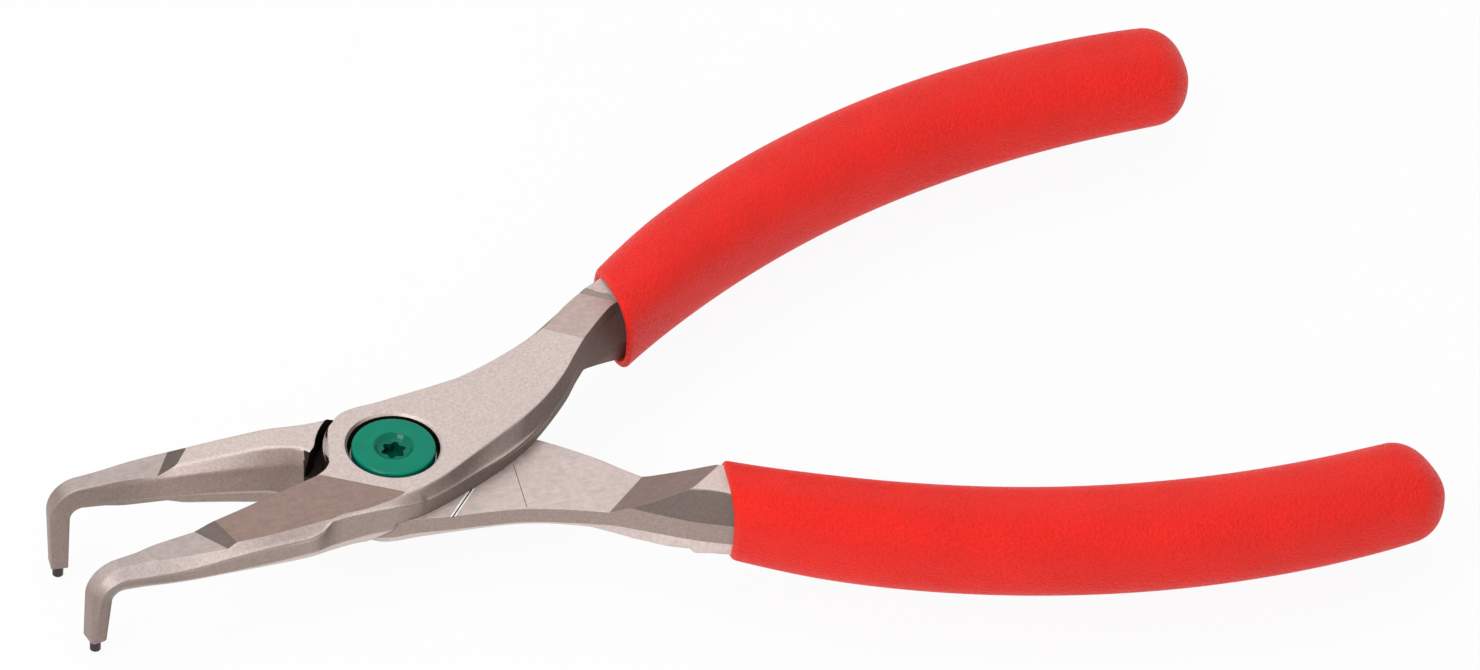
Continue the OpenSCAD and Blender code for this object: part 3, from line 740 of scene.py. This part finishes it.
def shoulder_corner(recess_r, depth):
    """Room beside the shoulder, whose corner runs round into the jaw's inner side."""
    reach = recess_r + SHOULDER_R
    y = -SHOULDER_R - JOINT_HALF * CORNER_SHARE
    x = -math.sqrt(reach ** 2 - y ** 2)
    tangent = y * recess_r / reach
    room = box("corner_room", x, 0, tangent, tangent + 2 * SHOULDER_R, -depth, 0, SHADOW_STEEL)
    outline = [(x + px, y + py) for px, py in circle(SHOULDER_R)]
    return cut(room, [prism("corner", outline, -depth - OVERRUN, OVERRUN, SHADOW_STEEL)])


def lap_recess():
    """The half of the forging that the other lever's plate takes, with its ramp."""
    depth = PLATE_T + OVERRUN
    recess_r = PLATE_R + SHOULDER_GAP
    disc = walled("disc", circle(PLATE_LEFT - SHOULDER_GAP, FINE_POINTS), -depth, 0)
    # The drum's walls and the shoulder's corner take the painted shadow
    drum = prism("drum", circle(recess_r, FINE_POINTS), -depth, 0, SHADOW_STEEL)
    beside = [(0, -JAW_ROOT), (PLATE_R, -JAW_ROOT), (PLATE_R, 0), (0, 0)]
    ramp_foot = RAMP_START + RAMP_RUN * depth / PLATE_T
    profile = [(0, 0), (RAMP_START, 0), (ramp_foot, -depth), (0, -depth)]
    # The ramp's face takes the painted shade
    ramp = moved(bar("ramp", profile, NECK_REACH, [LAP, SHADED_RAMP], 1), turned(RAMP_TURN, "Z"))
    # Painted highlight on the groove's edges, and painted shadow in the groove and the scribed
    # line
    start, stop = GROOVE_REACH - GROOVE_EDGE, GROOVE_REACH + GROOVE_W + GROOVE_EDGE
    edges = box(
        "groove_edges", start, stop, -NECK_REACH, NECK_REACH, -OVERRUN, GROOVE_EDGE_DEPTH, GROOVE_HIGHLIGHT
    )
    groove = box(
        "groove", GROOVE_REACH, GROOVE_REACH + GROOVE_W, -NECK_REACH, NECK_REACH,
        -OVERRUN, GROOVE_DEPTH, SHADOW_STEEL,
    )
    scribe = box(
        "scribe", SCRIBE_X, SCRIBE_X + SCRIBE_W, *SCRIBE_SPAN, -OVERRUN, SCRIBE_W, SHADOW_STEEL
    )
    return [
        ramp, walled("beside", beside, -depth, 0), disc, drum, shoulder_corner(recess_r, depth),
        moved(edges, turned(GROOVE_TURN, "Z")), moved(groove, turned(GROOVE_TURN, "Z")), scribe,
    ]


def spring_pocket():
    """Ring-shaped room for the return spring in a lap face."""
    half = WIRE_D / 2 + POCKET_ROOM
    ring = prism("pocket", circle(COIL_R + half), -OVERRUN, POCKET_DEPTH, SHADOW_STEEL)
    core = prism("pocket_core", circle(COIL_R - half), -2 * OVERRUN, 2 * OVERRUN, SHADOW_STEEL)
    return cut(ring, [core])


def tang_hole(angle, z0, z1):
    """Hole for an end of the return spring."""
    hole = prism("tang_hole", circle(WIRE_D / 2 + TANG_CLEAR, HOLE_POINTS), z0, z1, SHADOW_STEEL)
    return moved(hole, turned(angle, "Z") @ shifted(COIL_R, 0, 0))


# Start and run as shares of JAW_ROOT
SLOPE_TURN, SLOPE_START, SLOPE_RUN = 227.5, 0.715, 1.2


def jaw_facet():
    """Cutter for the sloping ground face between the plate and the jaw, which carries a painted
    shade.
    """
    run = JAW_ROOT * SLOPE_RUN
    facet = box("jaw_facet", 0, run, -JAW_REACH, JAW_REACH, 0, PLATE_T, SHADED_SLOPE)
    place = turned(SLOPE_TURN, "Z") @ shifted(JAW_ROOT * SLOPE_START, 0, PLATE_T)
    return moved(facet, place @ turned(JAW_SLOPE, "Y"))


# Its place as shares of JAW_RUN and JOINT_HALF
STEP_TURN, STEP_PLACE = 206.6, (-0.643, -0.36)
STEP_RAMP, STEP_RISE, STEP_BACK, STEP_LEAD = 1.8, 0.36, 3, 1.6
THIN_RUN, THIN_FALL = 11.5, 0.9


def jaw_step(lead):
    """Cutter for the jaw's thinner front, with painted shade on the front and, darker, on its
    ramp.
    The lead shifts it forward.
    """
    run = THIN_RUN - lead
    profile = [
        (-STEP_BACK, THIN_HALF + (STEP_RAMP + STEP_BACK) * STEP_RISE), (STEP_RAMP, THIN_HALF),
        (run, THIN_HALF * THIN_FALL), (run, 2 * PLATE_T), (-STEP_BACK, 2 * PLATE_T),
    ]
    step = bar("jaw_step", profile, JAW_ROOT, [THINNED, SHADED_NOTCH], 0)
    place = shifted(JAW_RUN * STEP_PLACE[0] - lead, JOINT_HALF * STEP_PLACE[1], 0)
    return moved(step, place @ turned(STEP_TURN, "Z"))


FACET_START, FACET_RUN, FACET_TURN, FACET_FALL = 27.3, 9, 45, 5
FACET_RISE = 1.4


def neck_facet():
    """Cutter for the ground face on the neck's outer side, which ends in a steel slope."""
    profile = [
        (0, 0), (FACET_RUN, 0), (FACET_RUN + FACET_RISE, FACET_RISE),
        (FACET_RUN + FACET_RISE, PLATE_T), (0, PLATE_T),
    ]
    facet = bar("neck_facet", profile, NECK_REACH / 2, [STEEL, FACET], 0)
    place = turned(FACET_TURN, "Z") @ shifted(FACET_START, 0, PLATE_T)
    return moved(facet, place @ turned(FACET_FALL, "Y"))


MIRROR_Z = Matrix.Diagonal((1, 1, -1, 1))

# A wall's normal lies lower than WALL_NORMAL, and the draft's leans by more than DRAFT_NORMAL
WALL_NORMAL, DRAFT_NORMAL = 0.5, 0.3


def forging(name, side, skirt):
    """A lever with its ground faces, in the forging's own place, with its plate above z = 0.

    The draft under the neck takes a painted light, and the wall beside the other plate a painted
    shadow.
    """
    rings = [rounded(ring) for ring in forging_rings(side, skirt)]
    lever = oriented(loft(name, rings, [STEEL, LAP, SHADOW_STEEL]))
    for face in lever.data.polygons:
        x, y, z = face.center
        # Painted light on the draft under the neck, painted shadow on steep walls by the plate's
        # round end
        draft = skirt and x > DRAFT_X and z > PLATE_T / 2
        wall = abs(face.normal.z) < WALL_NORMAL and math.hypot(x, y) < JAW_ROOT
        if draft and face.normal.y > DRAFT_NORMAL:
            face.material_index = 1
        elif wall and x < -PLATE_R / 2 and y > -SHOULDER_R:
            face.material_index = 2
    cutters = lap_recess() + [
        jaw_facet(), jaw_step(0), moved(jaw_step(STEP_LEAD), MIRROR_Z), neck_facet(),
        spring_pocket(),
    ]
    return cut(lever, cutters)


UPPER_PLACE = shifted(0, 0, UPPER_LAP_Z) @ turned(OPEN_ANGLE, "Z")
LOWER_PLACE = shifted(0, 0, LOWER_LAP_Z) @ turned(180, "X") @ turned(OPEN_ANGLE, "Z")
HEAD_TOP_Z = UPPER_LAP_Z + PLATE_T - HEAD_SUNK
WASHER_SEAT_Z = HEAD_TOP_Z - HEAD_T - WASHER_T
ABOVE_Z = 2 * PLATE_T + OVERRUN
TANG_DEPTH = POCKET_DEPTH + TANG_IN + TANG_CLEAR


def finished(obj, body, nodes, degrees=SHARP_EDGE):
    """Scales a piece from millimetres, shades it, and puts it on its body."""
    obj.data.transform(Matrix.Scale(MM, 4))
    smooth(obj, degrees)
    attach(obj, body)
    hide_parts(*nodes)
    return obj


def upper_lever():
    """The lever whose plate holds the screw's head."""
    lever = moved(forging("upper_forging", side=1, skirt=0), UPPER_PLACE)
    bore = prism("bore", circle(SHOULDER_D / 2 + SHOULDER_CLEAR), 0, ABOVE_Z, SHADOW_STEEL)
    counterbore = prism("counterbore", circle(COUNTERBORE_D / 2), WASHER_SEAT_Z, ABOVE_Z, SHADOW_STEEL)
    face_z = UPPER_LAP_Z + PLATE_T
    rim = lathe("rim", [
        (0, face_z - BORE_CHAMFER), (COUNTERBORE_D / 2, face_z - BORE_CHAMFER),
        (COUNTERBORE_D / 2 + 2 * BORE_CHAMFER, face_z + BORE_CHAMFER), (0, face_z + BORE_CHAMFER),
    ], STEEL)
    hole = tang_hole(COIL_START + 360 * COIL_TURNS, UPPER_LAP_Z, UPPER_LAP_Z + TANG_DEPTH)
    cut(lever, [bore, counterbore, rim, hole])
    return finished(lever, "upper_half", ["upper_lever"])


def lower_lever():
    """The same forging turned over, with the nut's room and the draft on its neck."""
    lever = moved(forging("lower_forging", side=-1, skirt=1), LOWER_PLACE)
    bore = prism("bore", circle(SHOULDER_D / 2 + SEAT_CLEAR), -OVERRUN, 2 * PLATE_T, SHADOW_STEEL)
    hexagon = circle((NUT_FLATS / 2 + NUT_CLEAR) / math.cos(math.radians(30)), count=6)
    hole = tang_hole(COIL_START, LOWER_LAP_Z - TANG_DEPTH, LOWER_LAP_Z)
    cut(lever, [bore, prism("nut_room", hexagon, -OVERRUN, NUT_T, SHADOW_STEEL), hole])
    return finished(lever, "lower_half", ["lower_lever"])


# Half width and half height of a sleeve along it, as shares of GRIP_HALF_W and GRIP_HALF_H
GRIP_W = [(0, 0.8), (0.2, 0.9), (0.45, 0.96), (0.7, 1), (0.9, 1), (1, 0.95)]
GRIP_H = [(0, 0.92), (0.15, 1), (0.5, 1), (0.75, 0.95), (0.9, 0.9), (1, 0.86)]

# Depths at which a sleeve's bore has a ring
BORE_DEPTHS = (4, 12)

# Lean of a sleeve's mouth in degrees, and how far it lies forward in millimetres
UPPER_MOUTH, LOWER_MOUTH = (7, 2.2), (-2, 0.5)


def grip(name, place, body, node, lean, advance):
    """A dipped sleeve from its round end to its mouth, and the bore."""
    mouth = MOUTH_ANGLE - run_angle(advance)

    def ring(a, w, h):
        run = max(0, 1 - (a - mouth) / run_angle(LEAN_RUN))
        slope = math.tan(math.radians(lean - MOUTH_ANGLE)) * run
        points = []
        for k in range(GRIP_POINTS):
            t = -360 * k / GRIP_POINTS
            shift = run_angle(w * soft(math.cos(math.radians(t))) * slope)
            points.append(section_point(a + shift, w, h, t))
        return points

    def grip_outer(a, inset):
        s = (a - mouth) / (GRIP_END_ANGLE - mouth)
        w, h = GRIP_HALF_W * cubic(s, GRIP_W, 1), GRIP_HALF_H * cubic(s, GRIP_H, 1)
        return ring(a, w - inset, h - inset)

    rings = []
    for k in range(GRIP_END_STEPS):
        t = math.radians(90 * k / GRIP_END_STEPS)
        back = run_angle(GRIP_END_R * (1 - math.cos(t)))
        rings.append(grip_outer(GRIP_END_ANGLE - back, GRIP_END_R * (1 - math.sin(t))))
    start, end = mouth + run_angle(LIP_R), GRIP_END_ANGLE - run_angle(GRIP_END_R)
    rings += [grip_outer(a, 0) for a in steps(end, start, GRIP_STEPS) + [start]]
    for k in range(1, LIP_STEPS + 1):
        t = math.radians(90 * k / LIP_STEPS)
        rings.append(grip_outer(start - run_angle(LIP_R * math.sin(t)), LIP_R * (1 - math.cos(t))))
    bore_w, bore_h = CORE_HALF_W + GRIP_CLEAR, CORE_HALF_H + GRIP_CLEAR
    rings.append(ring(mouth, bore_w + MOUTH_FLARE, bore_h + MOUTH_FLARE))
    rings += [ring(mouth + run_angle(depth), bore_w, bore_h) for depth in BORE_DEPTHS]
    piece = oriented(loft(name, rings, [VINYL]))
    return finished(moved(piece, place), body, [node], SHARP_GRIP_EDGE)


def quarter(radius, height, rounding):
    """Points of a rounded outer corner, from its side up to its top."""
    points = []
    for k in range(CORNER_STEPS + 1):
        t = math.radians(90 * k / CORNER_STEPS)
        side, up = rounding * (1 - math.cos(t)), rounding * (1 - math.sin(t))
        points.append((radius - side, height - up))
    return points


LOBES, LOBE_DEPTH = 6, 0.13


def star_outline():
    """Round lobes joined by rounded valleys."""
    points = []
    for k in range(STAR_POINTS):
        t = 2 * math.pi * k / STAR_POINTS
        radius = DRIVE_D / 2 * (1 - LOBE_DEPTH + LOBE_DEPTH * math.cos(LOBES * t))
        points.append((radius * math.cos(t), radius * math.sin(t)))
    return points


BOWL_POWER = 1.5


def screw():
    """The enamelled screw: a head with a bowl and a lobed recess, a shoulder and a thread."""
    under = HEAD_TOP_Z - HEAD_T
    profile = [(0, 0), (THREAD_D / 2, 0), (THREAD_D / 2, NUT_T), (SHOULDER_D / 2, NUT_T)]
    profile += [(SHOULDER_D / 2, under), (HEAD_D / 2, under)]
    profile += quarter(HEAD_D / 2, HEAD_TOP_Z, HEAD_ROUND) + [(0, HEAD_TOP_Z)]
    piece = oriented(lathe("screw_body", profile, ENAMEL, FINE_POINTS))
    bowl = []
    for k in range(BOWL_STEPS + 1):
        s = k / BOWL_STEPS
        radius = (DISH_FLOOR_D + (DISH_D - DISH_FLOOR_D) * s) / 2
        depth = DISH_DEPTH * math.cos(math.radians(90 * s)) ** BOWL_POWER
        bowl.append((radius, HEAD_TOP_Z - depth))
    above = HEAD_TOP_Z + DISH_DEPTH
    bowl = [(0, bowl[0][1])] + bowl + [(DISH_D / 2, above), (0, above)]
    floor_z = HEAD_TOP_Z - DISH_DEPTH - DRIVE_DEPTH
    # Painted shade darkens the bowl and, more, the lobed recess
    star = prism("star", star_outline(), floor_z, HEAD_TOP_Z, RECESS_SHADE_ENAMEL)
    cut(piece, [lathe("bowl", bowl, BOWL_SHADE_ENAMEL, FINE_POINTS), star])
    return finished(piece, "lower_half", ["pivot_screw"])


def dress_cad_nodes():
    """Finishes for the solids that stay."""
    finishes = {
        "upper_tip_pin": DARK, "lower_tip_pin": DARK, "thrust_washer": BRIGHT,
        "pivot_nut": BRIGHT, "return_spring": WIRE,
    }
    for name, material in finishes.items():
        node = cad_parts[name]
        node.data.materials.clear()
        node.data.materials.append(material)


# Camera of the photograph: it looks from the near left at this elevation, with a small roll
ELEVATION, ROLL, AZIMUTH = 41, 3.5, 23
DISTANCE, FARTHEST = 1.75, 20
PHOTO_W, PHOTO_H = 1480, 670
PIXELS_PER_METRE = 8000
PIVOT_PX = (392.7, 470.6)
SENSOR_MM = 36


def camera():
    """Puts the pivot at PIVOT_PX, with the levers' lap at the scale of PIXELS_PER_METRE."""
    e, r, a = (math.radians(v) for v in (ELEVATION, ROLL, AZIMUTH))
    right = Vector((math.cos(a), -math.sin(a), 0))
    level = Vector((math.sin(a), math.cos(a), 0))
    forward = level * math.cos(e) - Vector((0, 0, math.sin(e)))
    up = level * math.sin(e) + Vector((0, 0, math.cos(e)))
    x_axis = right * math.cos(r) + up * math.sin(r)
    y_axis = up * math.cos(r) - right * math.sin(r)
    across = (PIVOT_PX[0] - PHOTO_W / 2) / PIXELS_PER_METRE
    below = (PHOTO_H / 2 - PIVOT_PX[1]) / PIXELS_PER_METRE
    pivot = Vector((0, 0, LOWER_LAP_Z * MM))
    place = pivot - x_axis * across - y_axis * below - forward * DISTANCE
    data = bpy.data.cameras.new("camera")
    data.sensor_width = SENSOR_MM
    data.lens = SENSOR_MM * PIXELS_PER_METRE * DISTANCE / PHOTO_W
    data.clip_end = FARTHEST
    obj = bpy.data.objects.new("camera", data)
    bpy.context.collection.objects.link(obj)
    basis = Matrix((x_axis, y_axis, -forward)).transposed().to_4x4()
    obj.matrix_world = Matrix.Translation(place) @ basis
    bpy.context.scene.camera = obj


FLOOR_Z, FLOOR_HALF = -0.0082, 3
FLOOR_DARKER, FLOOR_LIGHTER = (0.82, 0.82, 0.82), (0.84, 0.84, 0.84)
WHITE_SHARE = 0.93
WORLD_LIGHT = 0.66


def stage():
    """A white floor that keeps a soft shadow, and a white world."""
    n = Nodes("floor")
    grain = n.noise(n.place(), scale=40, detail=2)
    n.set(Base_Color=n.ramp(grain, FLOOR_DARKER, FLOOR_LIGHTER), Roughness=0.9)
    rays = n.add("ShaderNodeLightPath")
    seen = n.math("MAXIMUM", rays.outputs["Is Camera Ray"], rays.outputs["Is Glossy Ray"])
    seen = n.math("MAXIMUM", seen, rays.outputs["Is Transmission Ray"])
    share = n.math("MULTIPLY", seen, WHITE_SHARE)
    white = n.add("ShaderNodeEmission", {"Color": (1, 1, 1, 1), "Strength": 1.0}).outputs[0]
    mixed = n.add("ShaderNodeMixShader", {0: share, 1: n.shader.outputs[0], 2: white}).outputs[0]
    n.tree.links.new(mixed, n.tree.nodes["Material Output"].inputs["Surface"])
    mesh = bpy.data.meshes.new("floor")
    corners = [(-1, -1), (1, -1), (1, 1), (-1, 1)]
    corners = [(x * FLOOR_HALF, y * FLOOR_HALF, FLOOR_Z) for x, y in corners]
    mesh.from_pydata(corners, [], [(0, 1, 2, 3)])
    mesh.materials.append(n.material)
    floor = bpy.data.objects.new("floor", mesh)
    bpy.context.collection.objects.link(floor)

    world = bpy.data.worlds.new("studio")
    bpy.context.scene.world = world
    world.use_nodes = True
    tree = world.node_tree
    background = tree.nodes["Background"]
    background.inputs["Color"].default_value = (1, 1, 1, 1)
    background.inputs["Strength"].default_value = WORLD_LIGHT


CENTRE = (0.045, 0, 0)


def lamp(name, size, power, place):
    """A soft rectangular lamp turned towards the middle of the tool."""
    data = bpy.data.lights.new(name, "AREA")
    data.shape = "RECTANGLE"
    data.size, data.size_y = size
    data.energy = power
    obj = bpy.data.objects.new(name, data)
    bpy.context.collection.objects.link(obj)
    obj.location = place
    obj.rotation_euler = (Vector(CENTRE) - Vector(place)).to_track_quat("-Z", "Y").to_euler()


camera()
upper_lever()
lower_lever()
screw()
grip("upper_sleeve", UPPER_PLACE, "upper_half", "upper_grip", *UPPER_MOUTH)
grip("lower_sleeve", LOWER_PLACE, "lower_half", "lower_grip", *LOWER_MOUTH)
dress_cad_nodes()
stage()
lamp("key", size=(0.5, 0.4), power=4, place=(-0.7, -0.4, 0.6))
lamp("top", size=(0.5, 0.5), power=2, place=(-0.15, 0.1, 0.9))

scene = bpy.context.scene
scene.view_settings.view_transform = "Standard"
